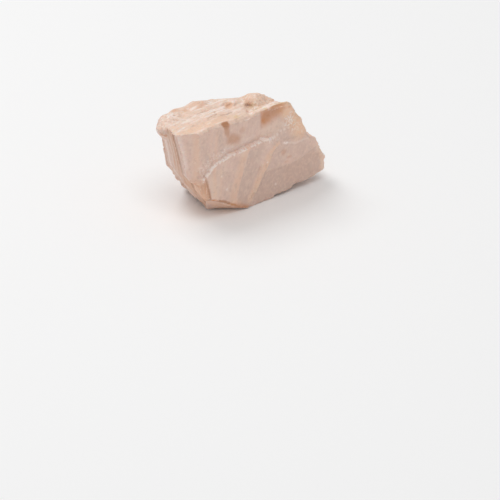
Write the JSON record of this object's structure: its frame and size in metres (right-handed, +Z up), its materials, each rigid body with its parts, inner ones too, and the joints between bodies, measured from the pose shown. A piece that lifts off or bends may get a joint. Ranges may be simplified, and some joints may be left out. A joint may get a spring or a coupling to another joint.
{
  "type": "rough moonstone",
  "caption": "Rough piece of peach moonstone: a broken cleavage block with a level top, a stepped pearly front and uneven fracture behind, resting on a small flat spot.",
  "frame": {"origin": "middle of the bounding box in plan, on the surface the stone rests on", "axes": "+Z up, out of the surface that it rests on; +X along the stone's length; -Y towards the side that the stepped front cleavage is seen from"},
  "size_m": [0.0448, 0.0348, 0.0289],
  "materials": {
    "moonstone": "pearly on cleavage faces, dull and granular on broken ones"
  },
  "bodies": {
    "root": {"moonstone": "moonstone"}
  },
  "joints": []
}
